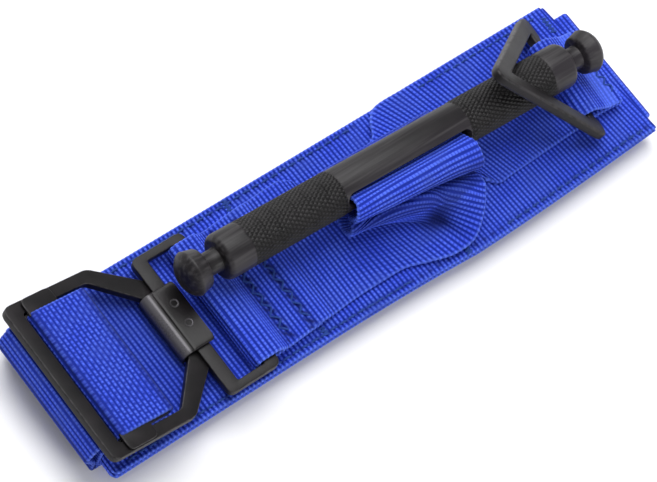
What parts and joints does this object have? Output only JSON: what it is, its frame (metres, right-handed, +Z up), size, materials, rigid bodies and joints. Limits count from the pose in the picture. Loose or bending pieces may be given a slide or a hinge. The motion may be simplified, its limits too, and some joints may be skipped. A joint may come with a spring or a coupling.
{
  "type": "windlass tourniquet",
  "caption": "Folded webbing tourniquet with a knurled windlass rod through its tension strap, a triangular rod-retaining ring, and a hooked D-frame buckle with a slider.",
  "frame": {"origin": "middle of the bounding box, on the surface the folded strap lies on", "axes": "+X along the strap towards the retaining ring, +Y across it, +Z up"},
  "size_m": [0.1974, 0.0494, 0.036],
  "materials": {
    "webbing": "ribbed flat-woven nylon webbing, royal blue",
    "keeper_webbing": "narrow ribbed nylon webbing, royal blue",
    "thread": "bonded nylon sewing thread, blue",
    "rod": "black anodised, diamond knurled grips",
    "ring_wire": "black oxide, rounded edges",
    "buckle_metal": "black oxide, satin",
    "hook_metal": "black finish worn to bare steel at the fold"
  },
  "bodies": {
    "strap_and_base": {"base_backing": "webbing", "base_cover": "webbing", "long_strap_standing": "webbing", "long_strap_tail": "webbing", "tension_strap": "webbing", "keeper_loop": "keeper_webbing", "edge_stitch_lower_left": "thread", "edge_stitch_lower_right": "thread", "edge_stitch_upper": "thread", "strap_stitch_upper": "thread", "ring_stitch_outer": "thread", "ring_stitch_inner": "thread", "bar_tack_upper_left": "thread", "bar_tack_lower_left": "thread", "bar_tack_lower_right": "thread", "bar_tack_end": "thread", "keeper_stitch": "thread"},
    "windlass": {"windlass_rod": "rod"},
    "retaining_ring": {"tri_ring": "ring_wire"},
    "hooked_ring": {"rectangular_ring": "buckle_metal", "hook_plate": "hook_metal", "hook_rivet_upper": "hook_metal", "hook_rivet_lower": "hook_metal"},
    "buckle_frame": {"d_frame": "buckle_metal"},
    "slider": {"slider_bar": "buckle_metal", "long_strap_turn": "webbing"}
  },
  "joints": [
    {"name": "windlass_turn", "type": "hinge", "parent": "strap_and_base", "child": "windlass", "pos_m": [0.01518, 0.00481, 0.0225], "axis": [0, 0, 1], "range_deg": [-0.4, 1]},
    {"name": "retaining_ring_hinge", "type": "hinge", "parent": "strap_and_base", "child": "retaining_ring", "pos_m": [0.07618, 0.00211, 0.0124], "axis": [0.0872, 0.9962, 0], "range_deg": [0, 105]},
    {"name": "hooked_ring_hinge", "type": "hinge", "parent": "strap_and_base", "child": "hooked_ring", "pos_m": [-0.04372, -0.00069, 0.01105], "axis": [0, 1, 0], "range_deg": [0, 2.5]},
    {"name": "buckle_frame_hinge", "type": "hinge", "parent": "strap_and_base", "child": "buckle_frame", "pos_m": [-0.06012, 0.00101, 0.0107], "axis": [0, 1, 0], "range_deg": [0, 8]},
    {"name": "slider_slide", "type": "slide", "parent": "buckle_frame", "child": "slider", "axis": [0.9686, 0, -0.2487], "range_m": [0, 0.003]}
  ]
}
